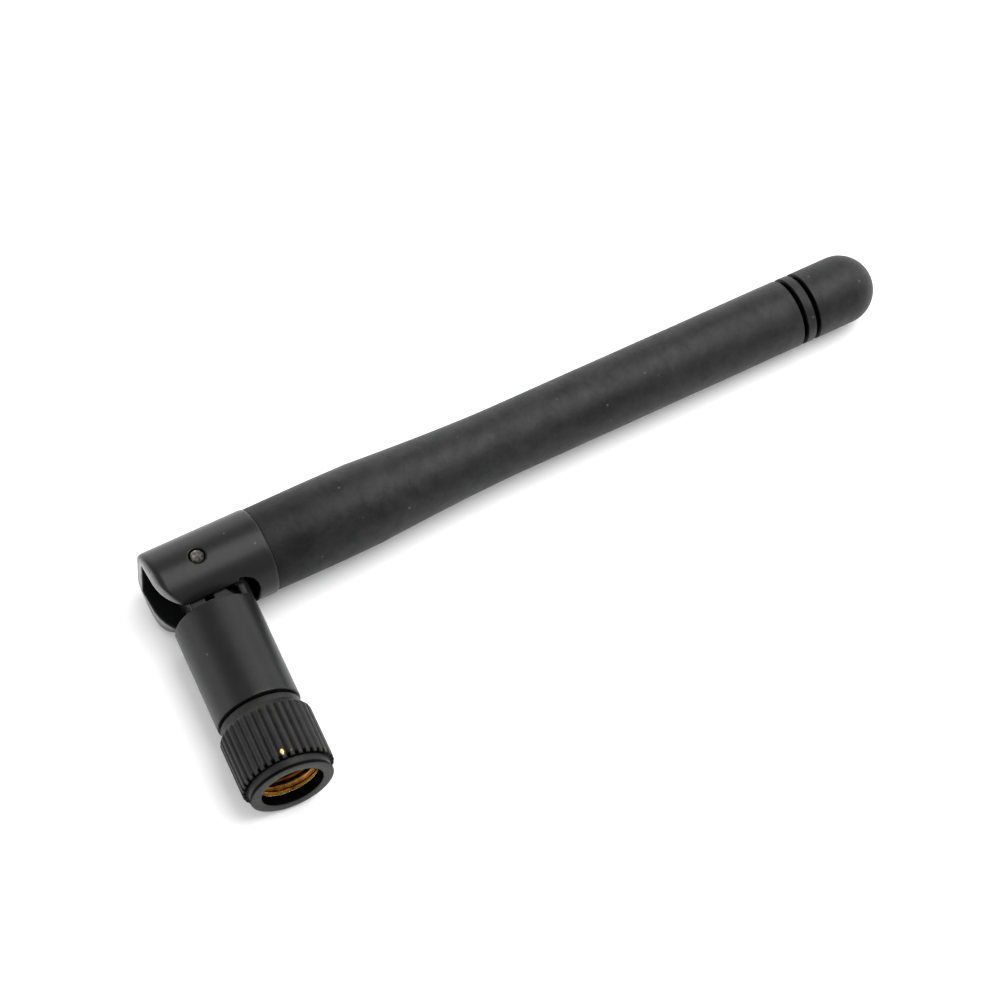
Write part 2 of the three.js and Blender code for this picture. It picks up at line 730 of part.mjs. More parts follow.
// The origin is on the table under the middle of the folded antenna.
const antenna = new THREE.Group();
antenna.add(connector, nut, barrel, whip);
antenna.updateMatrixWorld(true);
const extent = new THREE.Box3().setFromObject(antenna, true);
const middle = extent.getCenter(new THREE.Vector3());
antenna.position.set(-middle.x, -middle.y, -extent.min.z);

export default antenna;
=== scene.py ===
import json
import math

import bmesh
import bpy
import numpy as np
from mathutils import Matrix, Vector, noise


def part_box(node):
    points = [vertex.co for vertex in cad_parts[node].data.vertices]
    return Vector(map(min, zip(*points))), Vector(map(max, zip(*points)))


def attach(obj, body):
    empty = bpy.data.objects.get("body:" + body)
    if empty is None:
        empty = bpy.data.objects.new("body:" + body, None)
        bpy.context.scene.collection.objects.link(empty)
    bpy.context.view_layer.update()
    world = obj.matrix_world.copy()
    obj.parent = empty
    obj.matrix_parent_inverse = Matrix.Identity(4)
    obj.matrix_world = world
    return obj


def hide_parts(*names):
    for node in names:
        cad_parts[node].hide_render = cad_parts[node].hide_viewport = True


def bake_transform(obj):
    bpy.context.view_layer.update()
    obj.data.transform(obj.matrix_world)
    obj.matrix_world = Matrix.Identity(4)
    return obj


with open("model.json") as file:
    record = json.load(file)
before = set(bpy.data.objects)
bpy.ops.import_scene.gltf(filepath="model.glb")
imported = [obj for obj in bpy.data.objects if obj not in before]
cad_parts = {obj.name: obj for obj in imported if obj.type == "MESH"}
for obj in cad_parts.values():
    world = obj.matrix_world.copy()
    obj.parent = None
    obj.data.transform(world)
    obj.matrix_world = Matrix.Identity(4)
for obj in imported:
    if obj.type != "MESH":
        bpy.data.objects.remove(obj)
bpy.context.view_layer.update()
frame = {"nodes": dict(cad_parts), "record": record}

# The pieces are drawn in millimetres about the middle of the hinge, with the antenna straight: the
# connector towards -Y and the whip towards +Y. place() then moves each one into the row frame, in metres.

MM = 0.001
joints = {joint["name"]: joint for joint in frame["record"]["behaviour"]["joints"]}
PIN = Vector(joints["whip_tilt"]["pos_m"])
FOLD = math.radians(joints["whip_tilt"]["range_deg"][1])

# Gaps between pieces, and the step of the remeshed mouldings
GAP = 0.05
EDGE_GAP = 0.01
VOXEL = 0.106

# Hinge knuckle
KNUCKLE_RADIUS = 4.7
KNUCKLE_END = -5.1
JOINT_LINE = 7.22
EAR_ROUND_Y = -0.4
EAR_FILLET = 1.5  # round corner at the fork's closed side
EAR_EDGE = 0.95  # rounding of the fork's outer edge
SLOT_HALF = 2.68
SLOT_END = 4.9
SLOT_WALL_X = -2.55
RELIEF_HALF = 2.98
RELIEF_START = 2.9
RELIEF_CORNER = 1.8
JOINT_TAPER = ((0.5, -0.01), (0.25, 0.03), (EDGE_GAP, 0.09))  # (before the joint line, below the surface)
# The fork's end faces get a painted highlight: paler, glossier plastic, strongest along the slot.
HIGHLIGHT_BELOW = -2.4
HIGHLIGHT_FACING = 0.6  # least share of a normal that faces the fork's end
HIGHLIGHT_FACING_RANGE = 0.35
HIGHLIGHT_REACH = 0.8  # distance from the slot over which the painted highlight fades
HIGHLIGHT_FALL = 0.65  # share of it that has gone by then
PIN_EAR_HOLE = 0.9
PIN_RADIUS = 0.76
PIN_INNER = 1.3
PIN_OUTER = 4.6
PIN_CHAMFER = 0.1
PIN_DISH = 0.09
PIN_ROUGHNESS = 0.06
PIN_MARKS = 2.2  # scale of the noise on the pin's end
SPIGOT_RADIUS = 3.52
SPIGOT_BARB_RADIUS = 3.66
SPIGOT_BARBS = (9.4, 12.4)
BARB_LEAD = 0.2
BARB_LENGTH = 1
SPIGOT_END = 15.0
SPIGOT_CHAMFER = 0.3
CABLE_BORE = 1.3

# Swivel barrel
BARREL_RADIUS = 4.53
BARREL_END = -17.08
SHOULDER = -5.2
TONGUE_HALF = 2.56
TONGUE_BACK_X = -2.4
TONGUE_FRONT_X = 4.3
CHANNEL_HALF = 1.15
CHANNEL_BACK_X = -1.05
DETENT_STEP = 36
DETENT_START = -3
DETENT_WIDTH = 0.9
DETENT_DEPTH = 1.3
DETENT_INNER = 2.0
LUG_X = 3.42
LUG_WIDTH = 0.95
LUG_TOP = -3.5
LUG_HALF = 2.85
LUG_CORNER = 0.45
BARREL_BORE = 3.35
BARREL_BORE_END = -13.6
FERRULE_BORE = 1.75
FERRULE_BORE_END = -9.5

# Coupling nut
NUT_RADIUS = 4.96
NUT_TOP = -17.36
NUT_END = -25.94
NECK_RADIUS = 4.36
NECK_BOTTOM = -18.0
CHAMFER_START = -18.86
KNURL_TOP = -19.14
KNURL_END = -24.85
KNURL_TEETH = 36
KNURL_DEPTH = 0.235
KNURL_GROOVE_SHARE = 0.55  # share of each tooth's width that is groove
KNURL_SIDE_POWER = 0.8  # below 1, the groove's sides are steepest at the crest
KNURL_RUN_OUT = 0.5  # length over which the knurl's grooves deepen to the end band
KNURL_ROWS = 24
CHAMFER_ROWS = 8
END_BAND_RADIUS = 4.42
END_RING_TOP = -25.62
END_RING_RADIUS = 4.5
END_GROOVE_WIDTH = 0.1
END_GROOVE_DEPTH = 0.06
MOUTH_RADIUS = 3.34
MOUTH_DEPTH = 1.2
THREAD_MINOR = 2.88
THREAD_MAJOR = 3.2
THREAD_PITCH = 25.4 / 36
THREAD_TURNS = 6
THREAD_START = NUT_END + MOUTH_DEPTH + 0.06
THREAD_ROWS = 14  # rows of points in each turn
THREAD_CREST = 1.25  # above 1, the thread's crests are flat
THREAD_FADE = 0.25  # length over which the thread starts and ends
THREAD_DIM_DEPTH = 1.9  # depth at which the painted shade in the thread is at its darkest
THREAD_END = THREAD_START + THREAD_TURNS * THREAD_PITCH
NUT_RELIEF = 3.4
NUT_WALL = -18.95
NUT_WALL_BORE = 2.55

# The nut's point attribute: -1 paints shade into a corner, and the rest is as black_plate() reads it
CORNER_SHADE = -1.0
# A painted highlight line along the neck edge: paler black, partly bare brass where the noise is high.
NECK_EDGE_HIGHLIGHT_AND_WEAR = 0.62
# The end face is a paler black.
END_FACE_PALER = 0.45
CREST_WEAR = 0.25
CREST_END_WEAR = 0.3  # added at the crests' lower ends
CREST_END_LENGTH = 0.6
WORN_SPOTS = ((35.45, -24.15, 0.38, 1.4), (0.47, -24.3, 0.24, 1.08))  # (tooth, y, reach, strength)
WORN_FALL = 0.7  # how much less the wear is, one reach away
WORN_WIDTH = 0.6  # width of a worn spot for a height of 1

# Connector
SHIELD_END = -22.4
SHIELD_RADIUS = 2.3
SHIELD_BORE = 2.06
SHIELD_LENGTH = 2.4
BODY_RADIUS = 2.4
BEAD_SEAT = -17.9
RING_GROOVE = (-19.5, -19.1)
RING_GROOVE_RADIUS = 2.1
FLANGE = (-15.15, -14.35)
FLANGE_RADIUS = 3.15
STEM_RADIUS = 0.72
STEM_END = -10.4
STEM_BORE = 0.48
CONTACT_RADIUS = 0.62
SOCKET_RADIUS = 0.46
SOCKET_DEPTH = 2.4
SOLDER_CUP_RADIUS = 0.21
SLIT_HALF = 0.09
SLIT_LENGTH = 1.8
CABLE_RADIUS = 0.9
CABLE_BEND_RADIUS = 4.0

# Rubber sleeve
SLEEVE_RADIUS = 3.84
SLEEVE_FOOT_RADIUS = 4.58
FOOT_MIDDLE_RADIUS = 4.63
FOOT_MIDDLE = 14.5
FOOT_END = 19.4
TAPER_END = 37.0
TAPER_POWER = 1.6
TIP = 83.33
TIP_GROOVES = (72.8, 74.4)
TIP_GROOVE_HALF = 0.3
TIP_GROOVE_DEPTH = 0.55
TIP_GROOVE_FLOOR = 0.95  # width of a groove's floor, as a share of its mouth
AGED_FROM = 24.0  # from here to the tip the rubber has its full gloss
WAVINESS = 0.018
WAVES_ROUND = 1.2  # waves round the sleeve and along it, as scales of the noise
WAVES_ALONG = 0.14
WHIP_BORE = 2.74
WHIP_BORE_END = 77.5

# Stage. Each lobe of the light tent is (direction, inner and outer angle in degrees, strength).
FLOOR_HALF = 3.0
FLOOR_GLOW = 0.08
TENT_BASE = 0.8
TENT_LOBES = (
    ((0.1, 1.0, 0.05), 10, 40, 1.6),
    ((1.0, 0.2, 0.3), 15, 50, 1.4),
    ((-1.0, 0.1, 0.05), 10, 45, 1.8),
)
SOFTBOX_TOWARD = (0.33, 0.02, 0.94)
SOFTBOX_DISTANCE = 0.5
SOFTBOX_SIZE = 0.42
SOFTBOX_RADIANCE = 4.6
CAMERA_FROM_PIN = (-59.84, -159.689, 295.337)
CAMERA_ANGLES = (31.4368, -3.956, -24.21)
CAMERA_LENS = 118.381


# ---- Mesh tools ----

def new_object(name, verts, faces):
    mesh = bpy.data.meshes.new(name)
    mesh.from_pydata(verts, [], faces)
    obj = bpy.data.objects.new(name, mesh)
    bpy.context.scene.collection.objects.link(obj)
    out = bmesh.new()
    out.from_mesh(mesh)
    bmesh.ops.recalc_face_normals(out, faces=out.faces)
    out.to_mesh(mesh)
    out.free()
    return obj


def rounded(corners, closed=True, steps=4):
    """Outline points. A corner is (x, y) where it stays sharp, or (x, y, reach) where it is rounded off."""
    points = []
    last = len(corners) - 1
    for i, corner in enumerate(corners):
        here = Vector(corner[:2])
        reach = corner[2] if len(corner) > 2 else 0
        if reach == 0 or (not closed and i in (0, last)):
            points.append(tuple(here))
            continue
        to_before = Vector(corners[i - 1][:2]) - here
        to_after = Vector(corners[(i + 1) % len(corners)][:2]) - here
        start = here + to_before.normalized() * min(reach, 0.48 * to_before.length)
        end = here + to_after.normalized() * min(reach, 0.48 * to_after.length)
        for step in range(steps + 1):
            t = step / steps
            point = start * (1 - t) ** 2 + here * 2 * t * (1 - t) + end * t ** 2
            points.append(tuple(point))
    return points


def lathe(name, outline, sides=96, closed=True, shape=None):
    """A piece turned about Y from (radius, y) points. shape(angle, radius, y) may change a point's radius."""
    verts = []
    rows = []
    for radius, y in outline:
        if radius < 1e-9:
            rows.append([len(verts)] * sides)
            verts.append((0, y, 0))
            continue
        rows.append(list(range(len(verts), len(verts) + sides)))
        for side in range(sides):
            angle = 2 * math.pi * side / sides
            r = shape(angle, radius, y) if shape else radius
            verts.append((r * math.sin(angle), y, r * math.cos(angle)))
    pairs = list(zip(rows, rows[1:]))
    if closed:
        pairs.append((rows[-1], rows[0]))
    faces = []
    for low, high in pairs:
        for side in range(sides):
            after = (side + 1) % sides
            corners = [low[side], low[after], high[after], high[side]]
            face = list(dict.fromkeys(corners))
            if len(face) > 2:
                faces.append(face)
    return new_object(name, verts, faces)


def prism(name, outline, low, high):
    """An outline in the XY plane, drawn out along Z."""
    count = len(outline)
    verts = [(x, y, z) for z in (low, high) for x, y in outline]
    faces = [list(range(count)), list(range(count, 2 * count))]
    for i in range(count):
        after = (i + 1) % count
        faces.append([i, after, count + after, count + i])
    return new_object(name, verts, faces)


def block(name, low, high):
    outline = [(low[0], low[1]), (high[0], low[1]), (high[0], high[1]), (low[0], high[1])]
    return prism(name, outline, low[2], high[2])


def arc(x, y, radius, start, end, steps=12):
    """Points on an arc, from angle start to angle end in degrees."""
    angles = [math.radians(start + (end - start) * i / steps) for i in range(steps + 1)]
    return [(x + radius * math.cos(a), y + radius * math.sin(a)) for a in angles]


def core(name, radius, low, high, sides=160):
    """A plain cylinder about Y."""
    return lathe(name, [(0, low), (radius, low), (radius, high), (0, high)], sides, closed=False)


def turn(obj, degrees, axis):
    obj.data.transform(Matrix.Rotation(math.radians(degrees), 4, axis))
    return obj


def bake_modifiers(obj):
    graph = bpy.context.evaluated_depsgraph_get()
    mesh = bpy.data.meshes.new_from_object(obj.evaluated_get(graph))
    obj.modifiers.clear()
    obj.data = mesh


def combine(obj, other, operation):
    modifier = obj.modifiers.new("combine", "BOOLEAN")
    modifier.operation = operation
    modifier.solver = "MANIFOLD"
    modifier.object = other
    bake_modifiers(obj)
    bpy.data.objects.remove(other)


def cylinder_z(name, radius, low, high, sides=48):
    """A plain cylinder about Z."""
    return prism(name, arc(0, 0, radius, 0, 360 - 360 / sides, sides - 1), low, high)


def soften(obj, rounds, radius, y_low, y_high):
    """Rounds every edge a little, as a mould does: voxel remesh and smooth. Points of the outer cylinder,
    from y_low to y_high, are put back exactly on its radius."""
    remesh = obj.modifiers.new("remesh", "REMESH")
    remesh.mode = "VOXEL"
    remesh.voxel_size = VOXEL
    remesh.adaptivity = 0
    bake_modifiers(obj)
    smooth = obj.modifiers.new("smooth", "SMOOTH")
    smooth.factor = 0.5
    smooth.iterations = rounds
    bake_modifiers(obj)
    count = len(obj.data.vertices)
    points = np.empty(count * 3)
    normals = np.empty(count * 3)
    obj.data.vertices.foreach_get("co", points)
    obj.data.vertices.foreach_get("normal", normals)
    points = points.reshape(-1, 3)
    normals = normals.reshape(-1, 3)
    r = np.maximum(np.hypot(points[:, 0], points[:, 2]), 1e-6)
    outward = (points[:, 0] * normals[:, 0] + points[:, 2] * normals[:, 2]) / r
    in_range = (points[:, 1] > y_low) & (points[:, 1] < y_high)
    on_cylinder = in_range & (abs(r - radius) < VOXEL) & (outward > 0.99)
    scale = np.where(on_cylinder, radius / r, 1.0)
    points[:, 0] *= scale
    points[:, 2] *= scale
    obj.data.vertices.foreach_set("co", points.ravel())
    obj.data.update()


# ---- Materials ----

def tint(rgb, factor=1.0):
    return (rgb[0] * factor, rgb[1] * factor, rgb[2] * factor, 1)


class Finish:
    """A material with a Principled shader, and short calls for the nodes that feed it."""

    def __init__(self, name, **constants):
        self.material = bpy.data.materials.new(name)
        self.material.use_nodes = True
        self.tree = self.material.node_tree
        self.shader = self.tree.nodes["Principled BSDF"]
        for key, value in constants.items():
            self.shader.inputs[key.replace("_", " ")].default_value = value
        coordinates = self.tree.nodes.new("ShaderNodeTexCoord")
        self.place = coordinates.outputs["Object"]

    def node(self, kind, inputs=None, **settings):
        made = self.tree.nodes.new("ShaderNode" + kind)
        for key, value in settings.items():
            setattr(made, key, value)
        for key, value in (inputs or {}).items():
            self.feed(made.inputs[key], value)
        return made

    def feed(self, socket, value):
        if isinstance(value, bpy.types.NodeSocket):
            self.tree.links.new(value, socket)
        else:
            socket.default_value = value

    def stretched(self, scale):
        mapping = self.node("Mapping", {"Vector": self.place, "Scale": scale})
        return mapping.outputs["Vector"]

    def noise(self, size, detail=3.0, roughness=0.5, stretch=(1, 1, 1), distortion=0.0):
        """Noise from 0 to 1 whose features are size millimetres across."""
        inputs = {
            "Vector": self.stretched(stretch),
            "Scale": 1 / (size * MM),
            "Detail": detail,
            "Roughness": roughness,
            "Distortion": distortion,
        }
        return self.node("TexNoise", inputs).outputs["Fac"]

    def remap(self, value, low, high, to_low=0.0, to_high=1.0):
        inputs = {
            "Value": value,
            "From Min": low,
            "From Max": high,
            "To Min": to_low,
            "To Max": to_high,
        }
        return self.node("MapRange", inputs, clamp=True).outputs["Result"]

    def math(self, operation, a, b):
        return self.node("Math", {0: a, 1: b}, operation=operation).outputs[0]

    def mix(self, factor, a, b):
        made = self.node("Mix", data_type="RGBA")
        colours = [socket for socket in made.inputs if socket.type == "RGBA"]
        self.feed(made.inputs[0], factor)
        self.feed(colours[0], a)
        self.feed(colours[1], b)
        return [socket for socket in made.outputs if socket.type == "RGBA"][0]

    def specks(self, cell, radius, share):
        """Small round specks: one in each cell of a Voronoi pattern, kept in a share of the cells."""
        inputs = {"Vector": self.place, "Scale": 1 / (cell * MM)}
        cells = self.node("TexVoronoi", inputs)
        edge = radius / cell
        dot = self.remap(cells.outputs["Distance"], edge, edge * 0.6)
        red = self.node("SeparateColor", {"Color": cells.outputs["Color"]}).outputs[0]
        kept = self.math("GREATER_THAN", red, 1 - share)
        return self.math("MULTIPLY", dot, kept)

    def bump(self, height, depth, after=None):
        """Bump of a height map from 0 to 1, depth millimetres deep."""
        inputs = {"Height": height, "Distance": depth * MM, "Strength": 1.0}
        if after:
            inputs["Normal"] = after
        return self.node("Bump", inputs).outputs["Normal"]

    def set(self, **links):
        for key, value in links.items():
            self.feed(self.shader.inputs[key.replace("_", " ")], value)
        return self.material


def rubber():
    """Soft matt rubber with a faint uneven bloom and a little dust. Its point attribute raises its gloss
    from 0 to 1, and at -1 paints shade into the tip grooves: near-black colour and no reflection."""
    f = Finish("rubber_black")
    gloss_and_groove_shade = f.node("Attribute", attribute_name="gloss_and_groove_shade").outputs["Fac"]
    bloom = f.remap(f.noise(5.0, 4, 0.6, (1, 1, 1), 0.6), 0.35, 0.72)
    fine = f.remap(f.noise(0.5, 4, 0.65), 0.3, 0.7)
    film = f.math("MULTIPLY", bloom, f.remap(fine, 0, 1, 0.55, 1.0))
    base = f.mix(film, tint((0.0032, 0.0032, 0.0035)), tint((0.0135, 0.0137, 0.0150)))
    dust = f.specks(1.3, 0.16, 0.12)
    colour = f.mix(f.math("MULTIPLY", dust, 0.4), base, tint((0.1, 0.1, 0.098)))
    # Painted shade: in the tip grooves the colour goes near black, and the gloss further down goes to
    # nothing.
    outside_painted_shade = f.remap(gloss_and_groove_shade, -1, 0)
    colour = f.mix(outside_painted_shade, tint((0.001, 0.001, 0.001)), colour)
    rough = f.remap(bloom, 0, 1, 0.47, 0.6)
    skin = f.bump(f.noise(0.16, 3, 0.6), 0.012)
    waves = f.bump(f.noise(2.2, 3, 0.55), 0.09, skin)
    patches = f.remap(f.noise(1.5, 5, 0.65, (1, 0.6, 1), 0.4), 0.3, 0.7, 0.76, 1.24)
    level = f.math("MULTIPLY", f.remap(gloss_and_groove_shade, 0, 1, 0.15, 0.255), outside_painted_shade)
    gloss = f.math("MULTIPLY", level, patches)
    return f.set(Base_Color=colour, Roughness=rough, Normal=waves, Specular_IOR_Level=gloss)


def plastic():
    """Satin moulded plastic with a fine spark texture, light scuffs and dust. Where its point attribute
    is above 0 it is paler and glossier: a painted highlight on the fork's end faces, broken up by noise."""
    f = Finish("plastic_black")
    highlight_and_wear = f.node("Attribute", attribute_name="highlight_and_wear").outputs["Fac"]
    cloud = f.noise(3.0, 4, 0.55)
    base = f.mix(f.remap(cloud, 0.3, 0.7), tint((0.0045, 0.0045, 0.0048)), tint((0.007, 0.007, 0.0073)))
    dust = f.specks(1.3, 0.16, 0.12)
    # Painted highlight: the fork's end faces are mixed towards pale grey, and their gloss is raised below.
    end_face_highlight = f.math("MULTIPLY", highlight_and_wear, f.remap(f.noise(0.7, 5, 0.65), 0.35, 0.6, 0.6, 1.0))
    base = f.mix(end_face_highlight, base, tint((0.2, 0.2, 0.204)))
    colour = f.mix(f.math("MULTIPLY", dust, 0.4), base, tint((0.1, 0.1, 0.1)))
    scuff = f.remap(f.noise(0.9, 5, 0.7, (1, 0.35, 1)), 0.55, 0.75)
    rough = f.remap(scuff, 0, 1, 0.33, 0.43)
    spark = f.bump(f.noise(0.11, 2, 0.6), 0.006)
    sink = f.bump(f.noise(4.0, 1, 0.4), 0.02, spark)
    gloss = f.remap(end_face_highlight, 0, 0.7, 0.215, 1.0)
    return f.set(Base_Color=colour, Roughness=rough, Normal=sink, Specular_IOR_Level=gloss)


def black_plate():
    """Black plating on brass. Its point attribute at -1 paints shade into corners (near-black, almost no
    gloss), above 0 makes the black paler, and near 1 shows bare brass."""
    f = Finish("plate_black")
    wear_and_painted_light = f.node("Attribute", attribute_name="wear_and_painted_light").outputs["Fac"]
    patch = f.noise(0.35, 4, 0.7)
    cloud = f.remap(f.noise(1.2, 4, 0.6), 0.3, 0.7)
    base = f.mix(cloud, tint((0.008, 0.0078, 0.0077)), tint((0.015, 0.0147, 0.0145)))
    # Painted shade: towards -1 (the knurl's groove ends and the mouth wall) the black goes near black with
    # almost no gloss.
    outside_painted_shade = f.remap(wear_and_painted_light, -1, 0)
    base = f.mix(outside_painted_shade, tint((0.0012, 0.0011, 0.001)), base)
    gloss = f.remap(outside_painted_shade, 0, 1, 0.02, 0.135)
    # Paler black: wear on the crests, a paler end face, and a painted highlight along the neck edge.
    highlight_and_wear = f.remap(f.math("MULTIPLY", wear_and_painted_light, f.remap(patch, 0.3, 0.7, 0.5, 1)), 0.1, 0.6)
    paler = f.mix(f.math("MULTIPLY", highlight_and_wear, 0.7), base, tint((0.022, 0.021, 0.0205)))
    bare = f.remap(f.math("ADD", wear_and_painted_light, f.remap(patch, 0.2, 0.8, -0.25, 0.25)), 0.78, 0.9)
    colour = f.mix(bare, paler, tint((0.80, 0.52, 0.22)))
    rough = f.remap(f.noise(0.5, 4, 0.6), 0.3, 0.7, 0.34, 0.5)
    skin = f.bump(f.noise(0.08, 3, 0.6), 0.006)
    return f.set(Base_Color=colour, Metallic=bare, Roughness=rough, Normal=skin, Specular_IOR_Level=gloss)


def metal(name, low, high, rough=(0.22, 0.38), marks=0.006, marks_size=0.05):
    """Turned metal: tone and gloss vary a little, and fine tool marks run round it."""
    f = Finish(name, Metallic=1.0)
    tone = f.remap(f.noise(1.0, 4, 0.6), 0.3, 0.7)
    colour = f.mix(tone, tint(low), tint(high))
    gloss = f.remap(f.noise(0.4, 4, 0.6), 0.3, 0.7, rough[0], rough[1])
    rings = f.noise(marks_size, 2, 0.5, (0.08, 1, 0.08))
    return f.set(Base_Color=colour, Roughness=gloss, Normal=f.bump(rings, marks))


def thread_gold():
    """Gold plating in the nut's thread, with painted light: a highlight painted on the first crest, and
    painted shade that turns it brown in the roots and further in, then near black. Its point attribute
    rises from 0 to 1 with depth."""
    f = Finish("gold_thread", Metallic=1.0)
    depth = f.node("Attribute", attribute_name="wear_and_painted_light").outputs["Fac"]
    tone = f.remap(f.noise(0.9, 4, 0.6), 0.38, 0.62)
    # Painted shade: past the first crest the gold is a dim brown.
    shaded_gold = f.mix(tone, tint((0.13, 0.045, 0.004)), tint((0.36, 0.15, 0.02)))
    # Painted highlight: the first crest is a pale bright gold.
    front = f.mix(f.remap(depth, 0.0, 0.4), tint((1.0, 0.8, 0.4)), shaded_gold)
    # Painted shade: further in the gold goes near black.
    colour = f.mix(f.remap(depth, 0.35, 1.0), front, tint((0.03, 0.008, 0.001)))
    gloss = f.remap(f.noise(0.4, 4, 0.6), 0.3, 0.7, 0.1, 0.22)
    return f.set(Base_Color=colour, Roughness=gloss, Normal=f.bump(f.noise(0.1, 3, 0.6), 0.01))


def steel_pin():
    """Bare steel with a rough, dull end."""
    f = Finish("steel_bare", Metallic=1.0)
    stain = f.remap(f.noise(0.35, 4, 0.65), 0.35, 0.65)
    colour = f.mix(stain, tint((0.022, 0.0215, 0.02)), tint((0.095, 0.092, 0.085)))
    gloss = f.remap(f.noise(0.2, 3, 0.6), 0.3, 0.7, 0.22, 0.5)
    return f.set(Base_Color=colour, Roughness=gloss, Normal=f.bump(f.noise(0.25, 3, 0.6), 0.05))


def moulded(name, low, high, rough, grain=0.1, depth=0.004, **constants):
    """A plain moulded or extruded plastic with a faint grain."""
    f = Finish(name, **constants)
    colour = f.mix(f.remap(f.noise(1.5, 3, 0.5), 0.3, 0.7), tint(low), tint(high))
    gloss = f.remap(f.noise(0.6, 3, 0.6), 0.3, 0.7, rough[0], rough[1])
    return f.set(Base_Color=colour, Roughness=gloss, Normal=f.bump(f.noise(grain, 3, 0.6), depth))


def foam():
    """White foam with open cells."""
    f = Finish("foam_white")
    cells = f.node("TexVoronoi", {"Vector": f.place, "Scale": 1 / (0.3 * MM)}).outputs["Distance"]
    colour = f.mix(f.remap(cells, 0, 0.7), tint((0.55, 0.55, 0.52)), tint((0.78, 0.78, 0.75)))
    rough = f.remap(cells, 0, 0.7, 0.95, 0.8)
    return f.set(Base_Color=colour, Roughness=rough, Normal=f.bump(cells, 0.08))


def braid():
    """Tinned copper braid: two sets of fine strands that cross."""
    f = Finish("braid_tinned", Metallic=1.0)
    waves = []
    for slope in (1, -1):
        mapping = f.node("Mapping", {"Vector": f.place, "Rotation": (0, 0, slope * math.radians(35))})
        inputs = {"Vector": mapping.outputs["Vector"], "Scale": 1 / (0.5 * MM), "Distortion": 0.4}
        waves.append(f.node("TexWave", inputs).outputs["Fac"])
    weave = f.math("MAXIMUM", *waves)
    colour = f.mix(weave, tint((0.30, 0.30, 0.31)), tint((0.70, 0.70, 0.72)))
    return f.set(Base_Color=colour, Roughness=f.remap(weave, 0, 1, 0.5, 0.3), Normal=f.bump(weave, 0.03))


FINISHES = {
    "rubber": rubber(),
    "plastic": plastic(),
    "black_plate": black_plate(),
    "gold": metal("gold_plate", (0.30, 0.14, 0.028), (0.50, 0.28, 0.08), (0.14, 0.26)),
    "brass": metal("brass_turned", (0.56, 0.40, 0.19), (0.72, 0.54, 0.28)),
    "steel": steel_pin(),
    "ptfe": moulded("ptfe_white", (0.78, 0.77, 0.73), (0.88, 0.87, 0.83), (0.35, 0.5)),
    "jacket": moulded("jacket_brown", (0.13, 0.05, 0.025), (0.19, 0.08, 0.04), (0.2, 0.3), 0.4, 0.01,
                      Coat_Weight=0.3),
    "tinned": braid(),
    "copper": metal("copper_bare", (0.55, 0.25, 0.13), (0.72, 0.36, 0.2)),
    "foam": foam(),
    "shrink": moulded("shrink_black", (0.015, 0.015, 0.016), (0.024, 0.024, 0.025), (0.35, 0.5), 0.3, 0.02),
}

for node_row in frame["record"]["subparts"]:
    cad_mesh = frame["nodes"][node_row["node"]].data
    cad_mesh.materials.clear()
    cad_mesh.materials.append(FINISHES[node_row["material_slot"]])


# ---- Placing pieces ----

AT_BARREL = Matrix.Translation(PIN) @ Matrix.Scale(MM, 4)
AT_WHIP = Matrix.Translation(PIN) @ Matrix.Rotation(-FOLD, 4, "Z") @ Matrix.Scale(MM, 4)


def place(obj, where, body, slot, *nodes, sharp=35):
    """Moves a finished piece into the row frame, gives it its slot's finish if it has none, parents it
    to its body's empty, and hides the CAD nodes it replaces.
    """
    obj.data.transform(where)
    obj.data.shade_smooth()
    obj.data.set_sharp_from_angle(angle=math.radians(sharp))
    if not any(obj.data.materials):
        obj.data.materials.clear()
        obj.data.materials.append(FINISHES[slot])
    if body:
        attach(obj, body)
    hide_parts(*nodes)
    return obj


# ---- Hinge knuckle ----

def ear_outline():
    """The fork from the side: round at the open side, with a small fillet at the closed one."""
    outside = KNUCKLE_RADIUS + 1
    corner_y = KNUCKLE_END + EAR_FILLET
    points = [(-outside, SPIGOT_END + 1), (-outside, corner_y)]
    points += arc(EAR_FILLET - KNUCKLE_RADIUS, corner_y, EAR_FILLET, 180, 270)
    points += arc(0, EAR_ROUND_Y, KNUCKLE_RADIUS, -90, 0, 32)
    points += [(outside, EAR_ROUND_Y), (outside, SPIGOT_END + 1)]
    return points


def relief_outline():
    """The wider end of the slot, as an outline in (z, y) with round corners at its end."""
    centre_z = RELIEF_HALF - RELIEF_CORNER
    centre_y = SLOT_END - RELIEF_CORNER
    points = [(-RELIEF_HALF, RELIEF_START), (RELIEF_HALF, RELIEF_START)]
    points += arc(centre_z, centre_y, RELIEF_CORNER, 0, 90, 8)
    points += arc(-centre_z, centre_y, RELIEF_CORNER, 90, 180, 8)
    return points


def mark_end_face_highlight(knuckle):
    """Marks the fork's end faces for a painted highlight, most along the edge of the slot."""
    highlight_and_wear = knuckle.data.attributes.new("highlight_and_wear", "FLOAT", "POINT")
    for vertex in knuckle.data.vertices:
        x, y, z = vertex.co
        if y < HIGHLIGHT_BELOW:
            facing = min(1.0, max(0.0, (-vertex.normal.y - HIGHLIGHT_FACING) / HIGHLIGHT_FACING_RANGE))
            from_slot = max(0.0, abs(z) - SLOT_HALF, SLOT_WALL_X - x)
            highlight_and_wear.data[vertex.index].value = facing * (1 - HIGHLIGHT_FALL * min(1.0, from_slot / HIGHLIGHT_REACH))


